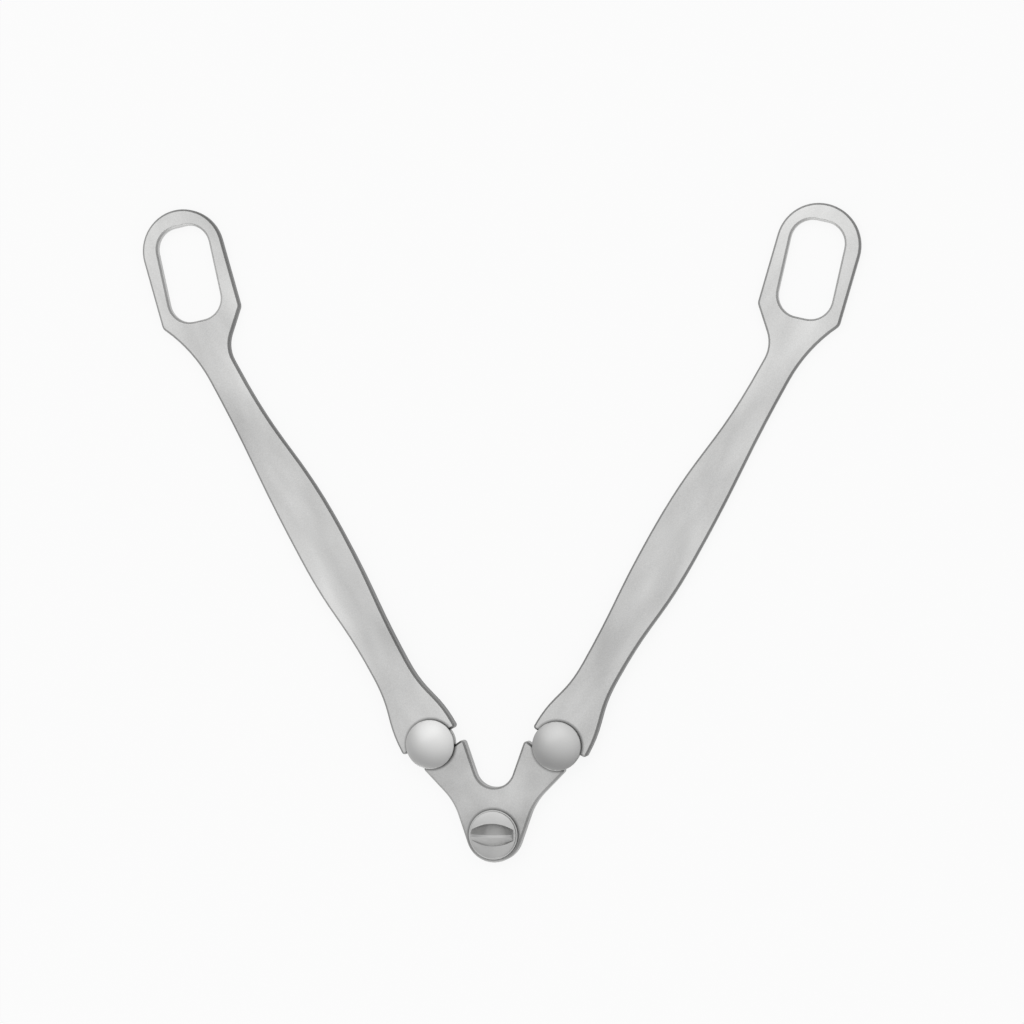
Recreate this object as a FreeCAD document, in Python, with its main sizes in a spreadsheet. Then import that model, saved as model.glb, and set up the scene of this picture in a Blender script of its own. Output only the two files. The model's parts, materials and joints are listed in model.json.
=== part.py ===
import FreeCAD, Part
import enum
import math
import os
import re
import Sketcher

# Surgical retractor frame, in millimetres.
# Two flat arms with window loops hinge on a V-shaped centre plate.
# Each hinge is a half lap under a domed cap.
# Origin: the thumb screw's axis at the underside. +Z is up, +Y points from the thumb screw to the arms.

DIMENSIONS = {
    # Overall layout
    "pivot_half": 25.6,
    "pivot_rise": 35.6,
    "arm_angle": 29.2,
    "plate_thick": 6.0,
    "top_bevel": 0.8,
    # Lap joint
    "lug_radius": 9.2,
    "lug_clearance": 0.3,
    "lap_split": 2.8,
    "thrust_thick": 0.3,
    "thrust_radius": 7.5,
    "lap_gap": 0.05,
    # Centre plate
    "lobe_radius": 11.2,
    "flank_angle": 19.0,
    "flank_run": 17.4,
    "flank_blend": 25.0,
    "shoulder_setback": 5.8,
    "shoulder_angle": 36.0,
    "shoulder_outer": 8.4,
    "shoulder_inner": 12.0,
    "shoulder_round": 1.3,
    "notch_radius": 8.0,
    "notch_rise": 26.6,
    # Arm, stations along it from the pivot and half widths on its inner and outer side
    "end_at": 1.4,
    "end_half": 12.1,
    "end_round": 1.2,
    "waist_at": 34.0,
    "waist_inner": 7.35,
    "waist_outer": 7.95,
    "belly_at": 91.0,
    "belly_inner": 9.15,
    "belly_outer": 11.5,
    "neck_back": 24.3,
    "neck_inner": 3.35,
    "neck_outer": 9.4,
    "neck_crook": 8.6,
    "neck_blend": 13.0,
    "arm_length": 195.3,
    "arm_thin": 3.6,
    "thin_from": 22.0,
    "thin_to": 120.0,
    # Window loop
    "loop_angle": 13.0,
    "loop_half": 16.7,
    "loop_length": 44.8,
    "knee_round": 3.5,
    "loop_wall": 5.9,
    "loop_tip": 7.1,
    "window_low": 0.9,
    "window_turn": 3.5,
    "window_corner": 8.6,
    # Hinge cap, its screw and its spring washer
    "cap_radius": 9.8,
    "cap_rim": 1.1,
    "cap_dome": 2.5,
    "journal_radius": 4.0,
    "journal_clearance": 0.05,
    "spring_radius": 9.0,
    "spring_thick": 0.35,
    "hinge_screw_radius": 2.0,
    "hinge_screw_depth": 6.4,
    "hinge_head_radius": 6.0,
    "hinge_head_thick": 1.0,
    "hinge_head_sink": 0.2,
    "hinge_head_clearance": 0.15,
    "hinge_screw_spare": 0.6,
    "driver_slot_wide": 1.3,
    "driver_slot_deep": 0.5,
    # Thumb screw, clamp washer and stop ring
    "shank_radius": 4.0,
    "thread_clearance": 0.05,
    "head_radius": 9.3,
    "head_rim": 1.5,
    "fin_high": 5.7,
    "fin_end_high": 2.8,
    "fin_setback": 0.9,
    "fin_crest_half": 0.5,
    "fin_root_half": 4.8,
    "fin_end_half": 2.4,
    "fin_sink": 0.4,
    "tip_radius": 3.2,
    "washer_radius": 9.9,
    "washer_thick": 1.0,
    "washer_bore_clearance": 0.1,
    "ring_radius": 6.0,
    "ring_thick": 0.9,
    "ring_recess_deep": 3.4,
    "ring_sink": 0.2,
    "ring_side_clearance": 0.3,
}

LEFT = -1
RIGHT = 1
# A cut that goes right through starts and ends this far outside of the piece.
OVERRUN = 2.0
# An edge this close to a named place is the edge meant.
NEAR = 0.05
# The least volume that a cut has to take away.
LEAST_CUT = 0.001
# A face is level where its normal's upward share is over this.
LEVEL = 0.9
# It is a wall where that share is under this.
WALL = 0.1
WORD = re.compile("[a-z_]+")


class Spot(enum.IntEnum):
    """How a sketch numbers the points of an edge."""

    START = 1
    END = 2
    CENTRE = 3


doc = FreeCAD.newDocument("RetractorFrame")
sheet = doc.addObject("Spreadsheet::Sheet", "Sizes")
for row, (alias, number) in enumerate(DIMENSIONS.items(), start=1):
    sheet.set(f"A{row}", alias)
    sheet.set(f"B{row}", str(number))
    sheet.setAlias(f"B{row}", alias)
doc.recompute()


def value(formula):
    """The present value of a formula written in the sheet's words."""
    return float(sheet.evalExpression(formula))


def bound(formula):
    """The same formula as an object outside of the sheet writes it."""
    return WORD.sub(lambda word: "Sizes." + word[0] if word[0] in DIMENSIONS else word[0], formula)


def new_body(label, at_x="0", at_y="0", turn="0"):
    """An empty body that stands at a place on the frame, turned about the vertical."""
    body = doc.addObject("PartDesign::Body", label)
    body.Label = label
    body.Placement.Rotation = FreeCAD.Rotation(FreeCAD.Vector(0, 0, 1), 1)
    body.setExpression("Placement.Base.x", bound(at_x))
    body.setExpression("Placement.Base.y", bound(at_y))
    body.setExpression("Placement.Rotation.Angle", bound(f"({turn}) * 1 deg"))
    return body


class Outline:
    """A sketch on one of its body's own planes, drawn point by point and tied to the sheet."""

    def __init__(self, body, name, role="XY_Plane", height="0", rise="0"):
        self.sketch = body.newObject("Sketcher::SketchObject", name)
        plane = next(item for item in body.Origin.OriginFeatures if item.Role == role)
        self.sketch.AttachmentSupport = (plane, [""])
        self.sketch.MapMode = "FlatFace"
        self.sketch.setExpression("AttachmentOffset.Base.z", bound(height))
        self.sketch.setExpression("AttachmentOffset.Base.y", bound(rise))
        self.first = None
        self.last = None

    def hold(self, kind, edge, spot, formula):
        """Ties one coordinate of a point to a formula."""
        held = Sketcher.Constraint(kind, -1, Spot.START, edge, spot, value(formula))
        self.sketch.setExpression(f"Constraints[{self.sketch.addConstraint(held)}]", bound(formula))

    def pin(self, edge, spot, across, along):
        """Ties both coordinates of a point."""
        self.hold("DistanceX", edge, spot, across)
        self.hold("DistanceY", edge, spot, along)

    def here(self):
        """The point that the outline has reached."""
        if self.last is None:
            across, along = self.first_formulas
            return FreeCAD.Vector(value(across), value(along), 0)
        return self.sketch.getPoint(*self.last)

    def start(self, across, along):
        """Names the first point."""
        self.first_formulas = (across, along)

    def join(self, edge, tail, head):
        """Hangs a new edge on the last one."""
        if self.last is None:
            self.pin(edge, tail, *self.first_formulas)
            self.first = (edge, tail)
        else:
            self.sketch.addConstraint(Sketcher.Constraint("Coincident", *self.last, edge, tail))
        self.last = (edge, head)

    def land(self, across, along):
        """Ties the end of the newest edge to its place, or to the first point where the outline closes."""
        if (across, along) == self.first_formulas:
            self.sketch.addConstraint(Sketcher.Constraint("Coincident", *self.last, *self.first))
        else:
            self.pin(*self.last, across, along)

    def line(self, across, along):
        """A straight edge."""
        target = FreeCAD.Vector(value(across), value(along), 0)
        edge = self.sketch.addGeometry(Part.LineSegment(self.here(), target), False)
        self.join(edge, Spot.START, Spot.END)
        self.land(across, along)

    def flow(self, across, along, lengthwise="y"):
        """A cubic curve that leaves and arrives parallel to one axis of the sketch."""
        source = self.here()
        target = FreeCAD.Vector(value(across), value(along), 0)
        reach = FreeCAD.Vector(0, (target.y - source.y) / 2, 0)
        if lengthwise == "x":
            reach = FreeCAD.Vector((target.x - source.x) / 2, 0, 0)
        curve = Part.BezierCurve()
        curve.setPoles([source, source + reach, target - reach, target])
        edge = self.sketch.addGeometry(curve.toBSpline(), False)
        self.join(edge, Spot.START, Spot.END)
        self.land(across, along)

    def arc(self, across, along, centre_across, centre_along, clockwise=False, tie="DistanceY"):
        """An arc about a centre, of which one coordinate is enough once both ends are tied."""
        source = self.here()
        target = FreeCAD.Vector(value(across), value(along), 0)
        centre = FreeCAD.Vector(value(centre_across), value(centre_along), 0)
        ends = [math.atan2(point.y - centre.y, point.x - centre.x) for point in (source, target)]
        if clockwise:
            ends.reverse()
        if ends[1] < ends[0]:
            ends[1] += 2 * math.pi
        circle = Part.Circle(centre, FreeCAD.Vector(0, 0, 1), source.distanceToPoint(centre))
        edge = self.sketch.addGeometry(Part.ArcOfCircle(circle, *ends), False)
        tail, head = (Spot.END, Spot.START) if clockwise else (Spot.START, Spot.END)
        self.join(edge, tail, head)
        self.land(across, along)
        self.hold(tie, edge, Spot.CENTRE, centre_along if tie == "DistanceY" else centre_across)

    def close(self):
        """A straight edge back to the first point."""
        self.line(*self.first_formulas)
        return self.sketch

    def circle(self, across, along, radius):
        """A whole circle."""
        centre = FreeCAD.Vector(value(across), value(along), 0)
        round_edge = Part.Circle(centre, FreeCAD.Vector(0, 0, 1), value(radius))
        edge = self.sketch.addGeometry(round_edge, False)
        self.pin(edge, Spot.CENTRE, across, along)
        held = self.sketch.addConstraint(Sketcher.Constraint("Radius", edge, value(radius)))
        self.sketch.setExpression(f"Constraints[{held}]", bound(radius))
        return self.sketch


def pad(body, name, sketch, length):
    """Adds material above a sketch."""
    feature = body.newObject("PartDesign::Pad", name)
    feature.Profile = sketch
    feature.setExpression("Length", bound(length))
    doc.recompute()


def pocket(body, name, sketch, length, upward=True, both_ways=False):
    """Takes material away above a sketch, below it, or on both sides of it."""
    before = body.Shape.Volume
    feature = body.newObject("PartDesign::Pocket", name)
    feature.Profile = sketch
    feature.setExpression("Length", bound(length))
    feature.Reversed = upward
    feature.Midplane = both_ways
    doc.recompute()
    if before - body.Shape.Volume < LEAST_CUT:
        raise RuntimeError(f"{body.Label}: {name} cuts nothing")
    return feature


def revolve(body, name, sketch):
    """Turns a half section about the body's own vertical axis."""
    feature = body.newObject("PartDesign::Revolution", name)
    feature.Profile = sketch
    feature.ReferenceAxis = (sketch, ["V_Axis"])
    feature.Angle = 360
    doc.recompute()


def dome(body, radius, rise, foot):
    """Turns a round head's flat top to a dome, about a level axis through the dome's own centre."""
    bulge = f"((({radius}) ^ 2 + ({rise}) ^ 2) / (2 * ({rise})))"
    wide = f"((({radius}) + {bulge}) / 2)"
    low = f"sqrt({bulge} ^ 2 - {wide} ^ 2)"
    clear = f"{bulge} + {radius}"
    outline = Outline(body, "dome_outline", "XZ_Plane", rise=f"{foot} + {rise} - {bulge}")
    outline.start("-" + wide, low)
    outline.arc(wide, low, "0", "0", clockwise=True)
    outline.line(wide, clear)
    outline.line("-" + wide, clear)
    profile = outline.close()
    before = body.Shape.Volume
    feature = body.newObject("PartDesign::Groove", "dome")
    feature.Profile = profile
    feature.ReferenceAxis = (profile, ["H_Axis"])
    feature.Midplane = True
    feature.Angle = 180
    doc.recompute()
    if before - body.Shape.Volume < LEAST_CUT:
        raise RuntimeError(f"{body.Label}: the dome cuts nothing")


def dress(body, kind, name, edges, cell, formula):
    """Adds a fillet or a chamfer on the named edges of the body as it stands."""
    if not edges:
        raise RuntimeError(f"{body.Label}: {name} finds no edge")
    base = body.Tip
    feature = body.newObject(kind, name)
    feature.Base = (base, edges)
    feature.setExpression(cell, bound(formula))
    doc.recompute()


def soften(body, name, edges, radius):
    """Rounds the named edges."""
    dress(body, "PartDesign::Fillet", name, edges, "Radius", radius)


def bevel(body, name, edges, width):
    """Breaks the named edges at half a right angle."""
    dress(body, "PartDesign::Chamfer", name, edges, "Size", width)


def upright_edges(body, *spots):
    """Names of the vertical edges that stand at the given points."""
    shape = body.Tip.Shape
    found = []
    for index, edge in enumerate(shape.Edges, start=1):
        low, high = edge.BoundBox.ZMin, edge.BoundBox.ZMax
        middle = edge.BoundBox.Center
        slim = edge.BoundBox.XLength < NEAR and edge.BoundBox.YLength < NEAR
        if not slim or high - low < NEAR:
            continue
        for across, along in spots:
            if math.hypot(middle.x - value(across), middle.y - value(along)) < NEAR:
                found.append(f"Edge{index}")
    return found


def rim_edges(body):
    """Names of the edges between the level faces on top and the walls beside them."""
    shape = body.Tip.Shape
    found = []
    for index, edge in enumerate(shape.Edges, start=1):
        middle = edge.valueAt((edge.FirstParameter + edge.LastParameter) / 2)
        slopes = []
        for face in shape.ancestorsOfType(edge, Part.Face):
            slopes.append(face.normalAt(*face.Surface.parameter(middle)).z)
        if len(slopes) == 2 and max(slopes) > LEVEL and abs(min(slopes)) < WALL:
            found.append(f"Edge{index}")
    return found


# The arm's neck, along it from the pivot.
NECK_AT = "(arm_length - neck_back)"
# Heights that more than one piece uses, from the underside up.
PIVOT_Y = "pivot_rise"
JOURNAL_FOOT = "(hinge_head_sink + hinge_head_thick)"
ARM_LUG_UNDER = "(lap_split + thrust_thick + lap_gap)"
SPRING_FOOT = "(plate_thick + lap_gap)"
CAP_UNDER = f"({SPRING_FOOT} + spring_thick + lap_gap)"
WASHER_FOOT = "(plate_thick + lap_gap)"
WASHER_TOP = f"({WASHER_FOOT} + washer_thick)"
HEAD_FOOT = f"({WASHER_TOP} + lap_gap)"
RING_TOP = "(ring_sink + ring_thick)"
SEAT_RADIUS = "(lug_radius + lug_clearance)"
JOURNAL_BORE = "(journal_radius + journal_clearance)"


def touch_angle(radius, across, along):
    """Formula of the angle at which a line from a point touches a circle about the origin."""
    return f"(atan2({along}; {across}) - acos({radius} / hypot({across}; {along})))"


def shoulder_point(reach):
    """Formulas of a point on the right shoulder, so far outward from abreast of the pivot."""
    lean = "shoulder_angle * 1 deg"
    across = f"(pivot_half + ({reach}) * cos({lean}) - shoulder_setback * sin({lean}))"
    along = f"(pivot_rise - ({reach}) * sin({lean}) - shoulder_setback * cos({lean}))"
    return across, along


def plate_blank(body):
    """The plate's outline: round lobe, leaning flanks, a straight shoulder at each hinge and the notch."""
    lean = "flank_angle * 1 deg"
    low = (f"(lobe_radius * cos({lean}))", f"(-lobe_radius * sin({lean}))")
    bend = (f"({low[0]} + flank_run * sin({lean}))", f"({low[1]} + flank_run * cos({lean}))")
    outer = shoulder_point("shoulder_outer")
    inner = shoulder_point("-shoulder_inner")
    angle = touch_angle("notch_radius", inner[0], f"({inner[1]} - notch_rise)")
    notch = (f"(notch_radius * cos({angle}))", f"(notch_rise + notch_radius * sin({angle}))")
    outline = Outline(body, "plate_outline")
    outline.start(*low)
    for across, along in (bend, outer, inner, notch):
        outline.line(across, along)
    outline.arc("-" + notch[0], notch[1], "0", "notch_rise", clockwise=True)
    for across, along in (inner, outer, bend, low):
        outline.line("-" + across, along)
    outline.arc(*low, "0", "0")
    pad(body, "blank", outline.sketch, "plate_thick")
    for name, spot, radius in (
        ("flank_bends", bend, "flank_blend"),
        ("outer_corners", outer, "shoulder_round"),
        ("inner_corners", inner, "shoulder_round"),
    ):
        pair = upright_edges(body, spot, ("-" + spot[0], spot[1]))
        soften(body, name, pair, radius)


def centre_plate():
    """V-shaped plate: lower lugs for the arms, a threaded lobe for the thumb screw and recesses below."""
    body = new_body("centre_plate")
    plate_blank(body)
    bevel(body, "top_bevel", rim_edges(body), "top_bevel")
    for side in (LEFT, RIGHT):
        pivot_x = f"{side} * pivot_half"
        name = "left" if side == LEFT else "right"
        lug = Outline(body, name + "_lug_outline").circle(pivot_x, PIVOT_Y, "lug_radius")
        pad(body, name + "_lug", lug, "lap_split")
        seat = Outline(body, name + "_seat_outline", height="lap_split")
        seat.circle(pivot_x, PIVOT_Y, SEAT_RADIUS)
        pocket(body, name + "_seat", seat.sketch, "plate_thick")
        bore = Outline(body, name + "_bore_outline").circle(pivot_x, PIVOT_Y, JOURNAL_BORE)
        pocket(body, name + "_bore", bore, "plate_thick")
        head = "(hinge_head_radius + hinge_head_clearance)"
        recess = Outline(body, name + "_screw_recess_outline").circle(pivot_x, PIVOT_Y, head)
        pocket(body, name + "_screw_recess", recess, JOURNAL_FOOT)
    thread = Outline(body, "thread_outline").circle("0", "0", "shank_radius + thread_clearance")
    pocket(body, "thread", thread, f"plate_thick + {OVERRUN}")
    recess = Outline(body, "ring_recess_outline").circle("0", "0", "ring_radius + ring_side_clearance")
    pocket(body, "ring_recess", recess, "ring_recess_deep")
    return body


def loop_point(side, across, along):
    """Formulas of a point that is given along and across the turned window loop."""
    turn = "loop_angle * 1 deg"
    x = f"{side} * (({across}) * cos({turn}) - ({along}) * sin({turn}))"
    y = f"(arm_length + ({across}) * sin({turn}) + ({along}) * cos({turn}))"
    return x, y


def arm_blank(body, side):
    """The arm's outline: square end, waist, belly, neck, two knees and the round loop."""
    outer_knee = loop_point(side, "loop_half", "0")
    inner_knee = loop_point(side, "-loop_half", "0")
    bow = "loop_length - loop_half"
    crook = (f"-{side} * neck_inner", f"{NECK_AT} + neck_crook")
    rise = f"({outer_knee[1]} - {NECK_AT})"
    spread = f"({side} * {outer_knee[0]} - neck_outer)"
    flare = f"(({spread} ^ 2 + {rise} ^ 2) / (2 * {spread}))"
    outline = Outline(body, "arm_outline")
    outline.start(f"{side} * end_half", "end_at")
    outline.flow(f"{side} * waist_outer", "waist_at")
    outline.flow(f"{side} * belly_outer", "belly_at")
    outline.flow(f"{side} * neck_outer", NECK_AT)
    flare_centre = (f"{side} * (neck_outer + {flare})", NECK_AT)
    outline.arc(*outer_knee, *flare_centre, clockwise=side == RIGHT, tie="DistanceX")
    outline.line(*loop_point(side, "loop_half", bow))
    bow_end = loop_point(side, "-loop_half", bow)
    bow_centre = loop_point(side, "0", bow)
    outline.arc(*bow_end, *bow_centre, clockwise=side == LEFT)
    outline.line(*inner_knee)
    outline.line(*crook)
    outline.line(crook[0], NECK_AT)
    outline.flow(f"-{side} * belly_inner", "belly_at")
    outline.flow(f"-{side} * waist_inner", "waist_at")
    outline.flow(f"-{side} * end_half", "end_at")
    pad(body, "blank", outline.close(), "plate_thick")
    ends = upright_edges(body, (f"{side} * end_half", "end_at"), (f"-{side} * end_half", "end_at"))
    soften(body, "end_corners", ends, "end_round")
    soften(body, "knees", upright_edges(body, outer_knee, inner_knee), "knee_round")
    soften(body, "crook", upright_edges(body, crook), "neck_blend")


def thin_arm(body):
    """Draws the arm's top down in one smooth slope from the hinge's thickness to the loop's."""
    far = f"arm_length + loop_length + {OVERRUN}"
    high = f"plate_thick + {OVERRUN}"
    wide = "2 * (belly_inner + belly_outer) + 2 * loop_length"
    outline = Outline(body, "slope_outline", "YZ_Plane")
    outline.start("thin_from", "plate_thick")
    outline.flow("thin_to", "arm_thin", lengthwise="x")
    outline.line(far, "arm_thin")
    outline.line(far, high)
    outline.line("thin_from", high)
    pocket(body, "slope", outline.close(), wide, both_ways=True)


def arm_window(body, side):
    """Cuts the loop's window, a rounded rectangle that leans a little further than the loop."""
    lean = "window_turn * 1 deg"
    half = "(loop_half - loop_wall)"
    high = "(loop_length - loop_tip)"
    middle = f"({high} - window_low) / 2"
    reach = f"({high} + window_low) / 2"
    spots = []
    for a, b in ((1, -1), (1, 1), (-1, 1), (-1, -1)):
        across = f"{a} * {half} * cos({lean}) - {b} * {reach} * sin({lean})"
        along = f"{middle} + {a} * {half} * sin({lean}) + {b} * {reach} * cos({lean})"
        spots.append(loop_point(side, across, along))
    outline = Outline(body, "window_outline")
    outline.start(*spots[0])
    for spot in spots[1:]:
        outline.line(*spot)
    pocket(body, "window", outline.close(), "plate_thick")
    soften(body, "window_corners", upright_edges(body, *spots), "window_corner")


def arm(label, side):
    """Long arm with its upper lug, the round seat under it and the bore for the cap's journal."""
    body = new_body(label, f"{side} * pivot_half", PIVOT_Y, f"-{side} * arm_angle")
    arm_blank(body, side)
    thin_arm(body)
    arm_window(body, side)
    bevel(body, "top_bevel", rim_edges(body), "top_bevel")
    lug = Outline(body, "lug_outline", height=ARM_LUG_UNDER).circle("0", "0", "lug_radius")
    pad(body, "lug", lug, f"plate_thick - {ARM_LUG_UNDER}")
    seat = Outline(body, "seat_outline").circle("0", "0", SEAT_RADIUS)
    pocket(body, "seat", seat, ARM_LUG_UNDER)
    bore = Outline(body, "bore_outline").circle("0", "0", JOURNAL_BORE)
    pocket(body, "bore", bore, f"plate_thick + {OVERRUN}")
    return body


def hinge_cap(label, side):
    """Domed cap with the hinge's journal below it, tapped from the underside."""
    body = new_body(label, f"{side} * pivot_half", PIVOT_Y)
    tapped = "(hinge_screw_radius + thread_clearance)"
    hole_top = f"({JOURNAL_FOOT} + hinge_screw_depth)"
    shelf = f"({CAP_UNDER} + cap_rim)"
    crown = f"({shelf} + cap_dome)"
    outline = Outline(body, "half_section", "XZ_Plane")
    outline.start(tapped, JOURNAL_FOOT)
    outline.line("journal_radius", JOURNAL_FOOT)
    outline.line("journal_radius", CAP_UNDER)
    outline.line("cap_radius", CAP_UNDER)
    outline.line("cap_radius", crown)
    outline.line("0", crown)
    outline.line("0", hole_top)
    outline.line(tapped, hole_top)
    revolve(body, "turned", outline.close())
    dome(body, "cap_radius", "cap_dome", shelf)
    return body


def hinge_screw(label, side):
    """Flat-headed screw that closes the hinge from the underside."""
    body = new_body(label, f"{side} * pivot_half", PIVOT_Y)
    tip = f"({JOURNAL_FOOT} + hinge_screw_depth - hinge_screw_spare)"
    outline = Outline(body, "half_section", "XZ_Plane")
    outline.start("0", "hinge_head_sink")
    outline.line("hinge_head_radius", "hinge_head_sink")
    outline.line("hinge_head_radius", JOURNAL_FOOT)
    outline.line("hinge_screw_radius", JOURNAL_FOOT)
    outline.line("hinge_screw_radius", tip)
    outline.line("0", tip)
    revolve(body, "turned", outline.close())
    half = "driver_slot_wide / 2"
    reach = f"hinge_head_radius + {OVERRUN}"
    slot = Outline(body, "driver_slot_outline")
    slot.start(f"-({reach})", f"-({half})")
    slot.line(reach, f"-({half})")
    slot.line(reach, half)
    slot.line(f"-({reach})", half)
    pocket(body, "driver_slot", slot.close(), "hinge_head_sink + driver_slot_deep")
    return body


def flat_ring(label, inner, outer, foot, thick, at_x="0", at_y="0"):
    """A plain flat ring."""
    body = new_body(label, at_x, at_y)
    outline = Outline(body, "ring_outline", height=foot)
    outline.circle("0", "0", outer)
    outline.circle("0", "0", inner)
    pad(body, "ring", outline.sketch, thick)
    return body


def spring_washer(label, side):
    """Spring disc between the arm's top and the cap, which presses it flat."""
    pivot = (f"{side} * pivot_half", PIVOT_Y)
    return flat_ring(label, JOURNAL_BORE, "spring_radius", SPRING_FOOT, "spring_thick", *pivot)


def thrust_washer(label, side):
    """Thin disc that the arm's lug slides on."""
    pivot = (f"{side} * pivot_half", PIVOT_Y)
    return flat_ring(label, JOURNAL_BORE, "thrust_radius", "lap_split", "thrust_thick", *pivot)


def fin_section(body, name, at_x, root_half, foot, top):
    """A section across the fin, wide at its root and narrow at its crest."""
    outline = Outline(body, name, "YZ_Plane", height=at_x)
    outline.start("-" + root_half, foot)
    outline.line(root_half, foot)
    outline.line("fin_crest_half", top)
    outline.line("-fin_crest_half", top)
    return outline.close()


def thumb_screw():
    """Threaded shank under a flat round head with a fin to turn it by, highest and thickest in its middle."""
    body = new_body("thumb_screw")
    shelf = f"({HEAD_FOOT} + head_rim)"
    root = f"({shelf} - fin_sink)"
    end_top = f"({shelf} + fin_end_high)"
    half_long = "(head_radius - fin_setback)"
    outline = Outline(body, "half_section", "XZ_Plane")
    outline.start("0", "ring_sink")
    outline.line("tip_radius", "ring_sink")
    outline.line("tip_radius", RING_TOP)
    outline.line("shank_radius", RING_TOP)
    outline.line("shank_radius", HEAD_FOOT)
    outline.line("head_radius", HEAD_FOOT)
    outline.line("head_radius", shelf)
    outline.line("0", shelf)
    revolve(body, "turned", outline.close())
    fin = body.newObject("PartDesign::AdditiveLoft", "fin")
    fin.Profile = fin_section(body, "fin_left_end", "-" + half_long, "fin_end_half", root, end_top)
    fin.Sections = [
        fin_section(body, "fin_middle", "0", "fin_root_half", root, f"({shelf} + fin_high)"),
        fin_section(body, "fin_right_end", half_long, "fin_end_half", root, end_top),
    ]
    doc.recompute()
    return body


def clamp_washer():
    """Washer that the thumb screw presses on the blade's stem."""
    bore = "(shank_radius + washer_bore_clearance)"
    return flat_ring("clamp_washer", bore, "washer_radius", WASHER_FOOT, "washer_thick")


def stop_ring():
    """Ring on the thumb screw's tip, which meets the plate before the screw comes out."""
    bore = "(tip_radius + journal_clearance)"
    return flat_ring("screw_stop_ring", bore, "ring_radius", "ring_sink", "ring_thick")


def build():
    """Makes every piece."""
    pieces = [centre_plate(), thumb_screw(), clamp_washer(), stop_ring()]
    for name, side in (("left", LEFT), ("right", RIGHT)):
        pieces.append(arm(name + "_arm", side))
        pieces.append(hinge_cap(name + "_hinge_cap", side))
        pieces.append(hinge_screw(name + "_hinge_screw", side))
        pieces.append(spring_washer(name + "_spring_washer", side))
        pieces.append(thrust_washer(name + "_thrust_washer", side))
    return pieces


def check():
    """Stops on any object that did not come out."""
    for item in doc.Objects:
        if "Invalid" in item.State or "Error" in item.State:
            raise RuntimeError(f"{item.Label} failed: {item.State}")


def write(pieces):
    """Writes each piece, where it stands, to a file of its own."""
    os.makedirs("parts", exist_ok=True)
    for body in pieces:
        shape = body.Shape
        if shape.isNull() or not shape.isValid() or len(shape.Solids) != 1:
            raise RuntimeError(f"{body.Label} isn't one sound solid")
    for body in pieces:
        body.Shape.exportStep(f"parts/{body.Label}.step")
        print(body.Label, round(body.Shape.Volume, 1), "mm3")


pieces = build()
doc.recompute()
check()
write(pieces)
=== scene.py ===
import json
import math

import bmesh
import bpy
from bpy.props import FloatProperty, FloatVectorProperty, IntProperty, PointerProperty
from mathutils import Matrix, Vector

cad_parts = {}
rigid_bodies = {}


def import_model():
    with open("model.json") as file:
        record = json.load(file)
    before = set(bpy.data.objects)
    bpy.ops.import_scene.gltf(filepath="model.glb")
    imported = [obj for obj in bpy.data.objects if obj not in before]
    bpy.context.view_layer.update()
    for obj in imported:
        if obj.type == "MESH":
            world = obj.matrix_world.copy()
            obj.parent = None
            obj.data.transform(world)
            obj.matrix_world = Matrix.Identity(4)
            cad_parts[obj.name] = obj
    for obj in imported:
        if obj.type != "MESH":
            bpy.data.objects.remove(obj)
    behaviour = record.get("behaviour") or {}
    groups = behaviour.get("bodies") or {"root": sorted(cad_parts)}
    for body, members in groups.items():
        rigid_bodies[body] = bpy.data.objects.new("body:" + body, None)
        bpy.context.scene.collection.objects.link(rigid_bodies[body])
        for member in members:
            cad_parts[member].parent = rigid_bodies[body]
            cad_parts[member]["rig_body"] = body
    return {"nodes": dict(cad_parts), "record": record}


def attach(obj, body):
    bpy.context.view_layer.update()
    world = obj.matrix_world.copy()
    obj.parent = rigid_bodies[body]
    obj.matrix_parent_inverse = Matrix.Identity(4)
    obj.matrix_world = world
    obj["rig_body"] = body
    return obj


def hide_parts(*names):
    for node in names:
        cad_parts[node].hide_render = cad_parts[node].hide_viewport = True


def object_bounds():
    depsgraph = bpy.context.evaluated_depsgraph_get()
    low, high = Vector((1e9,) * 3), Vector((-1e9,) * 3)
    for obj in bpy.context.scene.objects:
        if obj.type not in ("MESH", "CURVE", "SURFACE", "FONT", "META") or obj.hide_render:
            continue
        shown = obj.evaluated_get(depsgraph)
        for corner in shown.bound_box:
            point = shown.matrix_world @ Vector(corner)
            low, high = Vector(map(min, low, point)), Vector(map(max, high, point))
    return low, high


bl_info = {
    "name": "Surgical Retractor Frame",
    "version": (1, 0, 0),
    "blender": (4, 5, 0),
    "location": "View3D > Sidebar > Retractor",
    "description": "Finishes a hinged retractor frame in satin steel and lights it on a pale table",
    "category": "Object",
}

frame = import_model()
CAD_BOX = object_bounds()
PHOTO_PIXELS = 1024
SENSOR_MM = 36.0
# The camera and the lamps aim at this point of the frame.
MIDDLE = Vector((0, 0.117, 0.003))

# Points closer together than this are one point.
SAME_POINT = 1e-6
# Points this close together in height or in distance from an axis lie on one circle.
SAME_CIRCLE = 2e-5
# Faces that turn less than this from each other are one flat face.
FLAT_TURN = math.radians(0.4)
# An edge that turns more than this is a corner of the piece.
CORNER_TURN = math.radians(24)
# The small pieces' corners are rounded by this share of the edge rounding.
SMALL_ROUNDING = 0.5
# A face is a wall where its normal's upward share is under this.
WALL_SHARE = 0.95
# Every point of a window's wall is nearer to the window's middle than this.
WINDOW_REACH = 0.0212
# The thumb screw's disc sinks this much from its middle to its rim, with this many rings in between.
DISC_DROP = 0.0007
DISC_RINGS = 4
THUMB_AXIS = Vector((0, 0))

# The arms lean this far from straight ahead at rest.
ARM_LEAN = math.radians(29.2)
# The steel keeps its own tone this far ahead of the thumb screw, and beyond it is painted lighter as painted
# light.
PAINTED_LIGHT_FROM = 0.12
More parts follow.
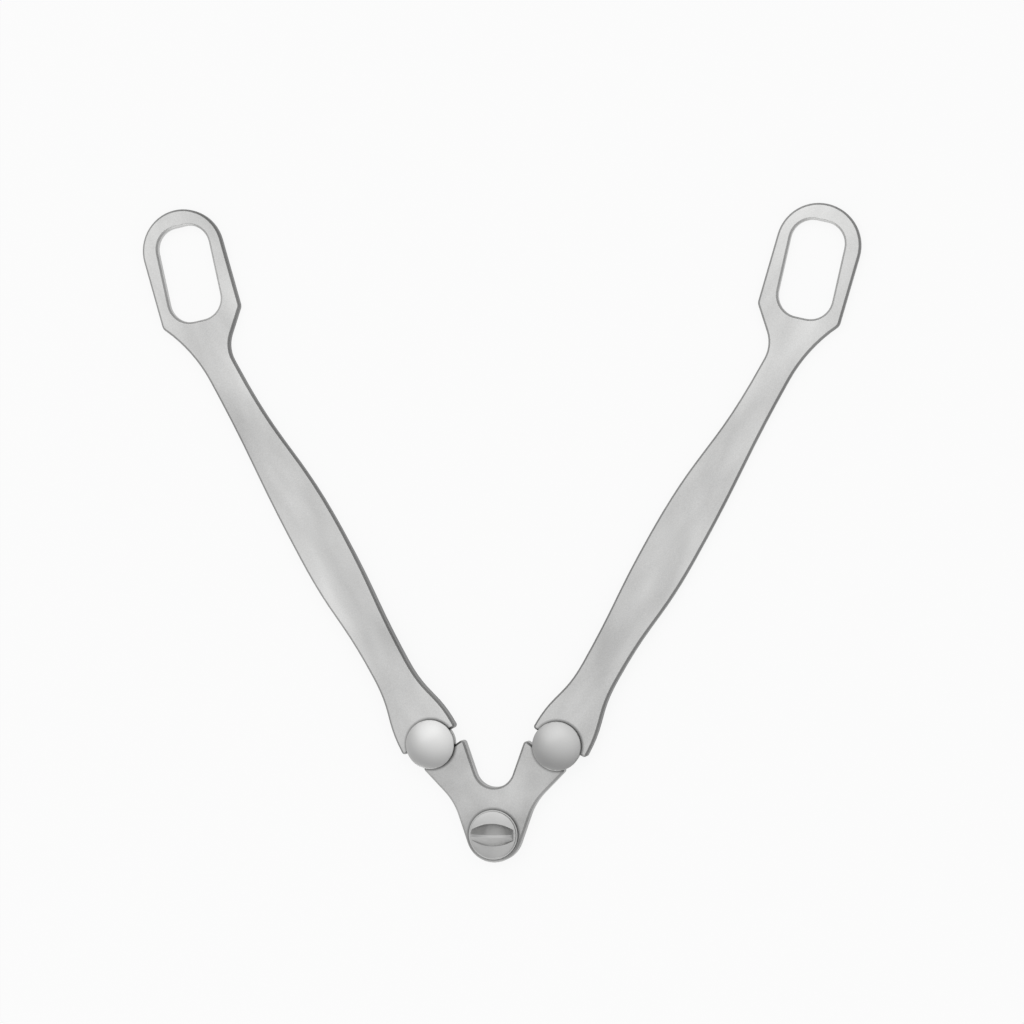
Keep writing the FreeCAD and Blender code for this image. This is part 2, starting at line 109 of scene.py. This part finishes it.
# The caps' and the clamp washer's radius, where a painted shadow line starts on the faces beside them.
CAP_RADIUS = 0.0098
WASHER_RADIUS = 0.0099
# Only faces above this height have the painted shadow line, which is this dark at its darkest.
GAP_SHADOW_FROM = 0.0045
GAP_SHADOW_TONE = 0.33
# The fine grain counts this much beside the clouds in the tone, and the clouds this much in the relief.
GRAIN_SHARE = 0.5
CLOUD_RELIEF = 6.0
RELIEF_STRENGTH = 0.35

# This share of the table is plain white for the camera and in the steel, and the rest takes the shade.
WHITE_SHARE = 0.88
CLOTH_SCALE = 900.0
CLOTH_DARKEST = 0.985
# The room's light from behind to ahead and upwards, each as: from low, from high, to low, to high.
UPPER_SIDES = (-0.8, 0.8, 0.5, 1.28)
UPPER_HEIGHTS = (0.1, 0.95, 0.3, 1.05)
LOWER_SIDES = (-0.8, 0.8, 0.85, 0.2)
# The upper light takes over from the lower one between these heights.
LOWER_TO_UPPER = (0.12, 0.5, 0.0, 1.0)
# The way from behind to ahead turns to the right by this share.
UPPER_TURN = 0.2
LOWER_TURN = 0.4
# The lamps' places from the middle and their widths and heights.
MAIN_PLACE = Vector((-0.45, 0.75, 1.1))
MAIN_SIZE = (1.4, 1.4)
FRONT_PLACE = Vector((-0.25, -1.0, 0.14))
FRONT_SIZE = (0.9, 0.26)


class RetractorFinish(bpy.types.PropertyGroup):
    """Colours and sizes of the steel's finish."""

    steel_colour: FloatVectorProperty(
        name="Steel", description="Colour of the satin faces", subtype="COLOR", size=3, min=0, max=1,
        default=(0.645, 0.645, 0.64),
    )
    # Painted shade: the walls beside the faces are painted this darker colour.
    edge_shade_colour: FloatVectorProperty(
        name="Edges", description="Colour of the ground walls beside the faces", subtype="COLOR", size=3,
        min=0, max=1, default=(0.19, 0.19, 0.188),
    )
    cap_colour: FloatVectorProperty(
        name="Caps", description="Colour of the turned caps", subtype="COLOR", size=3, min=0, max=1,
        default=(0.66, 0.66, 0.655),
    )
    # Painted light: the left cap is painted brighter and the right cap darker by this share.
    cap_painted_light: FloatProperty(
        name="Cap painted light", description="How much brighter the left cap is polished than the right one",
        min=0, max=0.5, default=0.12,
    )
    screw_colour: FloatVectorProperty(
        name="Screws", description="Colour of the turned screws and the clamp washer",
        subtype="COLOR", size=3, min=0, max=1, default=(0.58, 0.58, 0.575),
    )
    # Painted shade: the plate's walls are painted this darker colour.
    plate_edge_shade_colour: FloatVectorProperty(
        name="Plate edges", description="Colour of the plate's walls", subtype="COLOR", size=3, min=0, max=1,
        default=(0.42, 0.42, 0.416),
    )
    # Painted light: the walls inside of the windows are painted lighter than the other walls.
    window_painted_colour: FloatVectorProperty(
        name="Window walls", description="Colour of the polished walls inside of the windows",
        subtype="COLOR", size=3, min=0, max=1, default=(0.52, 0.52, 0.515),
    )
    # Painted shade: the thumb screw's steep sides are painted this darker colour.
    flank_shade_colour: FloatVectorProperty(
        name="Fin flanks", description="Colour of the steep sides of the thumb screw",
        subtype="COLOR", size=3, min=0, max=1, default=(0.36, 0.36, 0.356),
    )
    satin_roughness: FloatProperty(
        name="Satin", description="Roughness of the satin faces", min=0.05, max=1, default=0.42,
    )
    cap_roughness: FloatProperty(
        name="Cap polish", description="Roughness of the turned caps", min=0.05, max=1, default=0.33,
    )
    edge_round: FloatProperty(
        name="Edge rounding", description="Size of the rounding on the broken edges", unit="LENGTH",
        min=0.00002, max=0.001, default=0.0004, precision=5,
    )
    rim_round: FloatProperty(
        name="Rim rounding", description="Size of the rounding on the rims of the caps and the thumb screw",
        unit="LENGTH", min=0.00002, max=0.001, default=0.0007, precision=5,
    )
    edge_steps: IntProperty(
        name="Rounding steps", description="Faces across each rounding", min=1, max=8, default=4,
    )


class RetractorStage(bpy.types.PropertyGroup):
    """Table, light and camera."""

    floor_size: FloatProperty(
        name="Table", description="Side of the square table top", unit="LENGTH", min=0.5, max=20,
        default=6.0,
    )
    floor_colour: FloatVectorProperty(
        name="Table colour", description="Colour of the table top", subtype="COLOR", size=3, min=0, max=1,
        default=(0.95, 0.95, 0.95),
    )
    sky_level: FloatProperty(
        name="Room light", description="Strength of the light from the room", min=0, max=5, default=1.0,
    )
    key_power: FloatProperty(
        name="Main lamp", description="Power of the soft lamp beyond the window loops", min=0, max=1000,
        unit="POWER", default=1.2,
    )
    front_power: FloatProperty(
        name="Front lamp", description="Power of the low soft lamp before the thumb screw", min=0, max=1000,
        unit="POWER", default=1.2,
    )
    lean_right: FloatProperty(
        name="Lean right", description="How far the camera leans to the right of straight down",
        subtype="ANGLE", default=math.radians(10.96),
    )
    lean_up: FloatProperty(
        name="Lean up", description="How far the camera leans towards the window loops", subtype="ANGLE",
        default=math.radians(0.82),
    )
    roll: FloatProperty(
        name="Roll", description="Turn of the picture about the camera's own axis", subtype="ANGLE",
        default=math.radians(-0.23),
    )
    distance: FloatProperty(
        name="Distance", description="From the camera to the frame's middle", unit="LENGTH", min=0.2, max=10,
        default=1.6645,
    )
    pixels_per_mm: FloatProperty(
        name="Scale", description="Pixels of the picture to a millimetre at the frame's middle", min=0.1,
        max=20, default=2.5138,
    )
    middle_left: FloatProperty(
        name="Middle left", description="How far the frame's middle lies left of the picture's",
        unit="LENGTH", default=0.00662,
    )
    middle_low: FloatProperty(
        name="Middle low", description="How far the frame's middle lies below the picture's", unit="LENGTH",
        default=0.0112,
    )


def add_node(tree, kind, **settings):
    """A node with its settings."""
    node = tree.nodes.new(kind)
    for name, setting in settings.items():
        setattr(node, name, setting)
    return node


def feed(tree, target, value):
    """Links an input to another node's output, or sets it to a plain value."""
    if isinstance(value, bpy.types.NodeSocket):
        tree.links.new(value, target)
    else:
        target.default_value = value


def fed_node(tree, kind, values, **settings):
    """A node with its settings and the inputs that are named in values."""
    node = add_node(tree, kind, **settings)
    for name, value in values.items():
        feed(tree, node.inputs[name], value)
    return node


def coordinates(tree, kind):
    """One kind of texture coordinates."""
    return add_node(tree, "ShaderNodeTexCoord").outputs[kind]


def split(tree, vector):
    """A vector's X, Y and Z."""
    return fed_node(tree, "ShaderNodeSeparateXYZ", {"Vector": vector}).outputs


def noise(tree, place, scale, detail, roughness=0.5):
    """A noise pattern at a place."""
    values = {"Vector": place, "Scale": scale, "Detail": detail, "Roughness": roughness}
    return fed_node(tree, "ShaderNodeTexNoise", values).outputs["Fac"]


def spread(tree, source, low, high, to_low, to_high):
    """Carries one range of a value over to another."""
    values = {"Value": source, "From Min": low, "From Max": high, "To Min": to_low, "To Max": to_high}
    return fed_node(tree, "ShaderNodeMapRange", values).outputs["Result"]


def math_node(tree, operation, *values, clamp=False):
    """One step of arithmetic."""
    node = add_node(tree, "ShaderNodeMath", operation=operation, use_clamp=clamp)
    for target, value in zip(node.inputs, values):
        feed(tree, target, value)
    return node.outputs["Value"]


def toned(tree, colour, tone):
    """A colour times a tone."""
    values = {"Factor": 1.0, "A": colour, "B": tone}
    mix = fed_node(tree, "ShaderNodeMix", values, data_type="RGBA", blend_type="MULTIPLY")
    return mix.outputs["Result"]


def group_shell(name, inputs, outputs):
    """An empty shader group with its named number sockets, its entry node and its exit node."""
    tree = bpy.data.node_groups.new(name, "ShaderNodeTree")
    for socket_name, default in inputs.items():
        socket = tree.interface.new_socket(name=socket_name, in_out="INPUT", socket_type="NodeSocketFloat")
        socket.default_value = default
    for socket_name in outputs:
        tree.interface.new_socket(name=socket_name, in_out="OUTPUT", socket_type="NodeSocketFloat")
    return tree, add_node(tree, "NodeGroupInput").outputs, add_node(tree, "NodeGroupOutput").inputs


def satin_group():
    """Fine ground grain over broad soft clouds, with painted light ahead: a tone, a roughness and a height.
    """
    name = "Satin grain"
    if name in bpy.data.node_groups:
        return bpy.data.node_groups[name]
    sockets = {
        "Grain Scale": 2600.0,
        "Cloud Scale": 60.0,
        "Roughness": 0.4,
        "Roughness Spread": 0.06,
        "Tone Spread": 0.06,
        "Lean": 0.0,
        "Stretch": 1.0,
        "Lift": 0.0,
    }
    tree, entry, leave = group_shell(name, sockets, ("Tone", "Roughness", "Height"))
    place = coordinates(tree, "Object")
    grain = noise(tree, place, entry["Grain Scale"], 3, 0.6)
    turn = fed_node(tree, "ShaderNodeCombineXYZ", {"Z": entry["Lean"]})
    size = fed_node(tree, "ShaderNodeCombineXYZ", {"X": 1.0, "Y": entry["Stretch"], "Z": 1.0})
    streaks = {"Vector": place, "Rotation": turn.outputs["Vector"], "Scale": size.outputs["Vector"]}
    streaked = fed_node(tree, "ShaderNodeMapping", streaks, vector_type="TEXTURE").outputs["Vector"]
    cloud = noise(tree, streaked, entry["Cloud Scale"], 2, 0.45)
    grain_share = math_node(tree, "MULTIPLY", math_node(tree, "SUBTRACT", grain, 0.5), GRAIN_SHARE)
    both = math_node(tree, "ADD", grain_share, math_node(tree, "SUBTRACT", cloud, 0.5))
    # Painted light: the tone grows lighter ahead of the thumb screw.
    ahead = math_node(tree, "SUBTRACT", split(tree, place)["Y"], PAINTED_LIGHT_FROM)
    lit_tone = math_node(tree, "MULTIPLY_ADD", ahead, entry["Lift"], 1.0)
    feed(tree, leave["Tone"], math_node(tree, "MULTIPLY_ADD", both, entry["Tone Spread"], lit_tone))
    rough = math_node(
        tree, "MULTIPLY_ADD", both, entry["Roughness Spread"], entry["Roughness"], clamp=True,
    )
    feed(tree, leave["Roughness"], rough)
    feed(tree, leave["Height"], math_node(tree, "MULTIPLY_ADD", cloud, CLOUD_RELIEF, grain))
    return tree


def wall_shade_group():
    """How far a surface takes the painted wall shade: nothing on level faces, all on upright ones."""
    name = "Ground wall"
    if name in bpy.data.node_groups:
        return bpy.data.node_groups[name]
    tree, entry, leave = group_shell(name, {"Face Level": 0.85, "Wall Level": 0.45}, ("Wall",))
    upward = math_node(tree, "ABSOLUTE", split(tree, coordinates(tree, "Normal"))["Z"])
    feed(tree, leave["Wall"], spread(tree, upward, entry["Wall Level"], entry["Face Level"], 1.0, 0.0))
    return tree


def gap_shadow_group():
    """A painted shadow line on the faces where they border on a cap or on the thumb screw's washer."""
    name = "Seat line"
    if name in bpy.data.node_groups:
        return bpy.data.node_groups[name]
    tree, entry, leave = group_shell(name, {"Width": 0.0012}, ("Seat",))
    place = split(tree, coordinates(tree, "Object"))
    aside = math_node(tree, "ABSOLUTE", place["X"])
    lines = []
    for axis, radius in ((hinge_axis("right"), CAP_RADIUS), (THUMB_AXIS, WASHER_RADIUS)):
        across = math_node(tree, "SUBTRACT", aside, axis.x)
        along = math_node(tree, "SUBTRACT", place["Y"], axis.y)
        squares = math_node(tree, "MULTIPLY_ADD", along, along, math_node(tree, "MULTIPLY", across, across))
        outward = math_node(tree, "SUBTRACT", math_node(tree, "SQRT", squares), radius)
        lines.append(spread(tree, outward, 0.0, entry["Width"], 1.0, 0.0))
    above = math_node(tree, "GREATER_THAN", place["Z"], GAP_SHADOW_FROM)
    feed(tree, leave["Seat"], math_node(tree, "MULTIPLY", math_node(tree, "MAXIMUM", *lines), above))
    return tree


def steel(
    name, colour, wall_shade_colour, roughness, cloud_tone, cloud_scale, relief, face_level=0.93, wall_level=0.62,
    lean=0.0, stretch=1.0, painted_lift=0.0, gap_shadow_line=False,
):
    """Satin steel: clouded ground faces, walls painted darker as painted shade and a fine grain in the bump.
    """
    if name in bpy.data.materials:
        return bpy.data.materials[name]
    material = bpy.data.materials.new(name)
    material.use_nodes = True
    tree = material.node_tree
    values = {
        "Roughness": roughness,
        "Tone Spread": cloud_tone,
        "Cloud Scale": cloud_scale,
        "Lean": lean,
        "Stretch": stretch,
        "Lift": painted_lift,
    }
    satin = fed_node(tree, "ShaderNodeGroup", values, node_tree=satin_group()).outputs
    # Painted shade: upright walls and edge roundings take the darker wall colour.
    levels = {"Face Level": face_level, "Wall Level": wall_level}
    wall = fed_node(tree, "ShaderNodeGroup", levels, node_tree=wall_shade_group()).outputs["Wall"]
    colours = {"Factor": wall, "A": (*colour, 1), "B": (*wall_shade_colour, 1)}
    blend = fed_node(tree, "ShaderNodeMix", colours, data_type="RGBA")
    tone = satin["Tone"]
    # Painted shadow: the tone darkens in a line beside the caps and the washer.
    if gap_shadow_line:
        seat = add_node(tree, "ShaderNodeGroup", node_tree=gap_shadow_group()).outputs["Seat"]
        tone = math_node(tree, "MULTIPLY", tone, spread(tree, seat, 0.0, 1.0, 1.0, GAP_SHADOW_TONE))
    bumps = {"Strength": RELIEF_STRENGTH, "Distance": relief, "Height": satin["Height"]}
    shader = tree.nodes["Principled BSDF"].inputs
    shader["Metallic"].default_value = 1.0
    feed(tree, shader["Base Color"], toned(tree, blend.outputs["Result"], tone))
    feed(tree, shader["Roughness"], satin["Roughness"])
    feed(tree, shader["Normal"], fed_node(tree, "ShaderNodeBump", bumps).outputs["Normal"])
    return material


def arm_steel(finish, side):
    """The arms' satin steel, streaked along the arm, painted lighter towards the loop as painted light, most
    on the right, with a painted shadow line beside the caps.
    """
    left = side == "left"
    return steel(
        side + "_arm_steel", finish.steel_colour, finish.edge_shade_colour, finish.satin_roughness,
        cloud_tone=0.8, cloud_scale=70.0, relief=2e-6, lean=ARM_LEAN if left else -ARM_LEAN, stretch=3.0,
        painted_lift=0.2 if left else 1.0, gap_shadow_line=True,
    )


def plate_steel(finish):
    """The plate's satin steel, painted lighter ahead as painted light, with a painted shadow line beside the
    caps and the washer.
    """
    return steel(
        "plate_steel", finish.steel_colour, finish.plate_edge_shade_colour, finish.satin_roughness,
        cloud_tone=0.8, cloud_scale=55.0, relief=2e-6, painted_lift=1.0, gap_shadow_line=True,
    )


def window_painted_light_steel(finish):
    """The walls inside of the windows, painted brighter as painted light."""
    return steel(
        "window_painted_light_steel", finish.steel_colour, finish.window_painted_colour, finish.satin_roughness,
        cloud_tone=0.2, cloud_scale=90.0, relief=2e-6,
    )


def cap_steel(finish, side):
    """The caps' finer satin, with painted light: the left cap painted brighter, the right one darker."""
    share = 1 + finish.cap_painted_light if side == "left" else 1 - finish.cap_painted_light
    return steel(
        side + "_cap_steel", [part * share for part in finish.cap_colour], finish.edge_shade_colour,
        finish.cap_roughness, cloud_tone=0.08, cloud_scale=70.0, relief=1.2e-6, face_level=0.87,
        wall_level=0.6,
    )


def screw_steel(finish):
    """The turned steel of the thumb screw, its washer and the hinge screws, its steep sides painted darker
    as painted shade.
    """
    return steel(
        "screw_steel", finish.screw_colour, finish.flank_shade_colour, finish.cap_roughness,
        cloud_tone=0.3, cloud_scale=150.0, relief=1.5e-6, face_level=0.8, wall_level=0.4,
    )


def spring_steel(finish):
    """The bright thin discs inside of the hinges."""
    return steel(
        "spring_steel", finish.cap_colour, finish.edge_shade_colour, finish.cap_roughness,
        cloud_tone=0.06, cloud_scale=120.0, relief=1e-6,
    )


def named(rows, name):
    """The row of the record that has a name."""
    return next(row for row in rows if row["name"] == name)


def hinge_axis(side):
    """Where a hinge's axis stands."""
    return Vector(named(frame["record"]["behaviour"]["joints"], side + "_hinge")["pos_m"]).xy


def round_edges(form, edges, width, finish):
    """Rounds some edges of a mesh."""
    bmesh.ops.bevel(
        form, geom=edges, offset=width, offset_type="OFFSET", segments=finish.edge_steps, profile=0.5,
        affect="EDGES", clamp_overlap=True, material=-1,
    )


def corner_edges(form):
    """The edges of a mesh that are corners of the piece."""
    return [edge for edge in form.edges if edge.is_manifold and edge.calc_face_angle() > CORNER_TURN]


def top_rim(form, edges, axis):
    """Of some edges, those on the highest circle at the mesh's greatest distance from an upright axis."""
    wide = max((vert.co.xy - axis).length for vert in form.verts)
    outer = {vert for vert in form.verts if wide - (vert.co.xy - axis).length < SAME_CIRCLE}
    high = max(vert.co.z for vert in outer)
    top = {vert for vert in outer if high - vert.co.z < SAME_CIRCLE}
    return [edge for edge in edges if top.issuperset(edge.verts)]


def crown_disc(form):
    """Lets the thumb screw's flat disc sink towards its rim, with the fin's foot on it."""
    rim = top_rim(form, form.edges, THUMB_AXIS)
    high = rim[0].verts[0].co.z
    wide = rim[0].verts[0].co.xy.length
    level = [face for face in form.faces if all(abs(vert.co.z - high) < SAME_CIRCLE for vert in face.verts)]
    parts = set(bmesh.ops.triangulate(form, faces=level)["faces"])
    inner = [edge for edge in form.edges if edge.is_manifold and parts.issuperset(edge.link_faces)]
    bmesh.ops.subdivide_edges(form, edges=inner, cuts=DISC_RINGS, use_grid_fill=True)
    for vert in form.verts:
        if abs(vert.co.z - high) < SAME_CIRCLE:
            vert.co.z -= DISC_DROP * (vert.co.xy.length / wide) ** 2


def refined(node, material, finish, rounding=1.0, rim_axis=None, shape=None):
    """A piece made from a copy of a node: its flat faces joined, its corners rounded, its sides smooth."""
    source = frame["nodes"][node]
    mesh = bpy.data.meshes.new(node + "_finished")
    form = bmesh.new()
    form.from_mesh(source.data)
    bmesh.ops.remove_doubles(form, verts=form.verts, dist=SAME_POINT)
    bmesh.ops.dissolve_limit(
        form, angle_limit=FLAT_TURN, use_dissolve_boundaries=False, verts=form.verts, edges=form.edges,
    )
    if shape:
        shape(form)
    if rim_axis is not None:
        round_edges(form, top_rim(form, corner_edges(form), rim_axis), finish.rim_round, finish)
    round_edges(form, corner_edges(form), finish.edge_round * rounding, finish)
    for face in form.faces:
        face.smooth = True
    form.to_mesh(mesh)
    form.free()
    piece = bpy.data.objects.new(node + "_finished", mesh)
    bpy.context.scene.collection.objects.link(piece)
    mesh.materials.append(material)
    weigh = piece.modifiers.new("Even faces", "WEIGHTED_NORMAL")
    weigh.keep_sharp = False
    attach(piece, source["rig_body"])
    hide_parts(node)
    return piece


def paint_window_light(piece, side, material):
    """Gives the walls inside of an arm's window their own material, which paints them lighter as painted
    light.
    """
    middle = Vector(named(frame["record"]["mounts"], side + "_window")["pos_m"]).xy
    piece.data.materials.append(material)
    for face in piece.data.polygons:
        inward = middle - face.center.xy
        wall = face.normal.z < WALL_SHARE and face.normal.xy.dot(inward) > 0
        if wall and inward.length < WINDOW_REACH:
            face.material_index = 1


class RETRACTOR_OT_arms(bpy.types.Operator):
    """Finish the two arms in satin steel with softly broken edges"""

    bl_idname = "retractor.arms"
    bl_label = "Finish Arms"

    def execute(self, context):
        finish = context.scene.retractor_finish
        for side in ("left", "right"):
            piece = refined(side + "_arm", arm_steel(finish, side), finish)
            paint_window_light(piece, side, window_painted_light_steel(finish))
        return {"FINISHED"}


class RETRACTOR_OT_plate(bpy.types.Operator):
    """Finish the centre plate like the arms"""

    bl_idname = "retractor.plate"
    bl_label = "Finish Plate"

    def execute(self, context):
        finish = context.scene.retractor_finish
        refined("centre_plate", plate_steel(finish), finish)
        return {"FINISHED"}


class RETRACTOR_OT_caps(bpy.types.Operator):
    """Finish the domed hinge caps"""

    bl_idname = "retractor.caps"
    bl_label = "Finish Caps"

    def execute(self, context):
        finish = context.scene.retractor_finish
        for side in ("left", "right"):
            material = cap_steel(finish, side)
            refined(side + "_hinge_cap", material, finish, SMALL_ROUNDING, rim_axis=hinge_axis(side))
        return {"FINISHED"}


class RETRACTOR_OT_thumb_screw(bpy.types.Operator):
    """Finish the thumb screw, its washer and its stop ring"""

    bl_idname = "retractor.thumb_screw"
    bl_label = "Finish Thumb Screw"

    def execute(self, context):
        finish = context.scene.retractor_finish
        refined("thumb_screw", screw_steel(finish), finish, rim_axis=THUMB_AXIS, shape=crown_disc)
        for node in ("clamp_washer", "screw_stop_ring"):
            refined(node, screw_steel(finish), finish, SMALL_ROUNDING)
        return {"FINISHED"}


class RETRACTOR_OT_hinge_parts(bpy.types.Operator):
    """Finish the screws and the thin discs of the hinges"""

    bl_idname = "retractor.hinge_parts"
    bl_label = "Finish Hinge Parts"

    def execute(self, context):
        finish = context.scene.retractor_finish
        for side in ("left", "right"):
            refined(side + "_hinge_screw", screw_steel(finish), finish, SMALL_ROUNDING)
            for disc in ("_thrust_washer", "_spring_washer"):
                materials = frame["nodes"][side + disc].data.materials
                materials.clear()
                materials.append(spring_steel(finish))
        return {"FINISHED"}


def table_material(colour):
    """White table top that keeps a soft shadow and looks white in the steel too."""
    material = bpy.data.materials.new("table_top")
    material.use_nodes = True
    tree = material.node_tree
    tree.nodes.remove(tree.nodes["Principled BSDF"])
    cloth_noise = noise(tree, coordinates(tree, "Object"), CLOTH_SCALE, 2)
    shade = toned(tree, (*colour, 1), spread(tree, cloth_noise, 0.0, 1.0, CLOTH_DARKEST, 1.0))
    cloth = fed_node(tree, "ShaderNodeBsdfDiffuse", {"Color": shade})
    white = fed_node(tree, "ShaderNodeEmission", {"Strength": 1.0})
    rays = add_node(tree, "ShaderNodeLightPath").outputs
    seen = math_node(tree, "MAXIMUM", rays["Is Camera Ray"], rays["Is Glossy Ray"])
    seen = math_node(tree, "MAXIMUM", seen, rays["Is Transmission Ray"])
    mix = fed_node(tree, "ShaderNodeMixShader", {"Fac": math_node(tree, "MULTIPLY", seen, WHITE_SHARE)})
    tree.links.new(cloth.outputs["BSDF"], mix.inputs[1])
    tree.links.new(white.outputs["Emission"], mix.inputs[2])
    tree.links.new(mix.outputs["Shader"], tree.nodes["Material Output"].inputs["Surface"])
    return material


def lay_table(stage):
    """The table top under the frame."""
    mesh = bpy.data.meshes.new("table")
    form = bmesh.new()
    bmesh.ops.create_grid(form, x_segments=1, y_segments=1, size=stage.floor_size / 2)
    bmesh.ops.translate(form, vec=Vector((0, 0, CAD_BOX[0].z)), verts=form.verts)
    form.to_mesh(mesh)
    form.free()
    table = bpy.data.objects.new("table", mesh)
    bpy.context.scene.collection.objects.link(table)
    mesh.materials.append(table_material(stage.floor_colour))


def soft_lamp(name, place, size, power):
    """A flat lamp at a place from the frame's middle, which it points at."""
    lamp = bpy.data.lights.new(name, "AREA")
    lamp.shape = "RECTANGLE"
    lamp.size, lamp.size_y = size
    lamp.energy = power
    holder = bpy.data.objects.new(name, lamp)
    holder.location = MIDDLE + place
    holder.rotation_euler = (-place).to_track_quat("-Z", "Y").to_euler()
    bpy.context.scene.collection.objects.link(holder)


def light_room(stage):
    """Two soft lamps in a room that is bright overhead and ahead, but low down bright in front."""
    world = bpy.data.worlds.new("room")
    world.use_nodes = True
    tree = world.node_tree
    ground = tree.nodes["Background"].inputs
    ground["Color"].default_value = (1, 1, 1, 1)
    way = split(tree, coordinates(tree, "Generated"))
    upper_side = math_node(tree, "MULTIPLY_ADD", way["X"], UPPER_TURN, way["Y"])
    upper = math_node(
        tree, "MULTIPLY", spread(tree, upper_side, *UPPER_SIDES), spread(tree, way["Z"], *UPPER_HEIGHTS),
    )
    lower_side = math_node(tree, "MULTIPLY_ADD", way["X"], LOWER_TURN, way["Y"])
    lower = spread(tree, lower_side, *LOWER_SIDES)
    rise = spread(tree, way["Z"], *LOWER_TO_UPPER)
    level = math_node(tree, "MULTIPLY", spread(tree, rise, 0.0, 1.0, lower, upper), stage.sky_level)
    # The camera sees the room white.
    rays = add_node(tree, "ShaderNodeLightPath").outputs
    seen = math_node(tree, "MAXIMUM", rays["Is Camera Ray"], rays["Is Transmission Ray"])
    feed(tree, ground["Strength"], math_node(tree, "MAXIMUM", seen, level))
    bpy.context.scene.world = world
    soft_lamp("main_lamp", MAIN_PLACE, MAIN_SIZE, stage.key_power)
    soft_lamp("front_lamp", FRONT_PLACE, FRONT_SIZE, stage.front_power)


def place_camera(stage):
    """The photograph's view: nearly straight down, a little from the right."""
    scale = stage.pixels_per_mm * 1000
    lens = bpy.data.cameras.new("camera")
    lens.sensor_width = SENSOR_MM
    lens.lens = scale * stage.distance * SENSOR_MM / PHOTO_PIXELS
    turn = Matrix.Rotation(-stage.lean_up, 3, "X") @ Matrix.Rotation(stage.lean_right, 3, "Y")
    turn = turn @ Matrix.Rotation(-stage.roll, 3, "Z")
    offset = turn @ Vector((stage.middle_left, stage.middle_low, stage.distance))
    camera = bpy.data.objects.new("camera", lens)
    camera.matrix_world = Matrix.Translation(MIDDLE + offset) @ turn.to_4x4()
    bpy.context.scene.collection.objects.link(camera)
    bpy.context.scene.camera = camera


class RETRACTOR_OT_stage(bpy.types.Operator):
    """Lay the table, light the room and place the camera"""

    bl_idname = "retractor.stage"
    bl_label = "Set Stage"

    def execute(self, context):
        stage = context.scene.retractor_stage
        lay_table(stage)
        light_room(stage)
        place_camera(stage)
        context.scene.view_settings.view_transform = "Standard"
        return {"FINISHED"}


class RETRACTOR_PT_panel(bpy.types.Panel):
    """Buttons and settings of the retractor frame"""

    bl_label = "Retractor Frame"
    bl_idname = "RETRACTOR_PT_panel"
    bl_space_type = "VIEW_3D"
    bl_region_type = "UI"
    bl_category = "Retractor"

    def draw(self, context):
        layout = self.layout
        for group in (context.scene.retractor_finish, context.scene.retractor_stage):
            for name in group.__annotations__:
                layout.prop(group, name)
        for operator in OPERATORS:
            layout.operator(operator.bl_idname)


OPERATORS = (
    RETRACTOR_OT_arms,
    RETRACTOR_OT_plate,
    RETRACTOR_OT_caps,
    RETRACTOR_OT_thumb_screw,
    RETRACTOR_OT_hinge_parts,
    RETRACTOR_OT_stage,
)
CLASSES = (RetractorFinish, RetractorStage, *OPERATORS, RETRACTOR_PT_panel)


def register():
    """Makes the settings, the operators and the panel known."""
    for item in CLASSES:
        bpy.utils.register_class(item)
    bpy.types.Scene.retractor_finish = PointerProperty(type=RetractorFinish)
    bpy.types.Scene.retractor_stage = PointerProperty(type=RetractorStage)


def unregister():
    """Takes them away again."""
    del bpy.types.Scene.retractor_stage
    del bpy.types.Scene.retractor_finish
    for item in reversed(CLASSES):
        bpy.utils.unregister_class(item)


def main():
    """Builds the whole scene."""
    register()
    bpy.ops.retractor.arms()
    bpy.ops.retractor.plate()
    bpy.ops.retractor.caps()
    bpy.ops.retractor.thumb_screw()
    bpy.ops.retractor.hinge_parts()
    bpy.ops.retractor.stage()


if __name__ == "__main__":
    main()
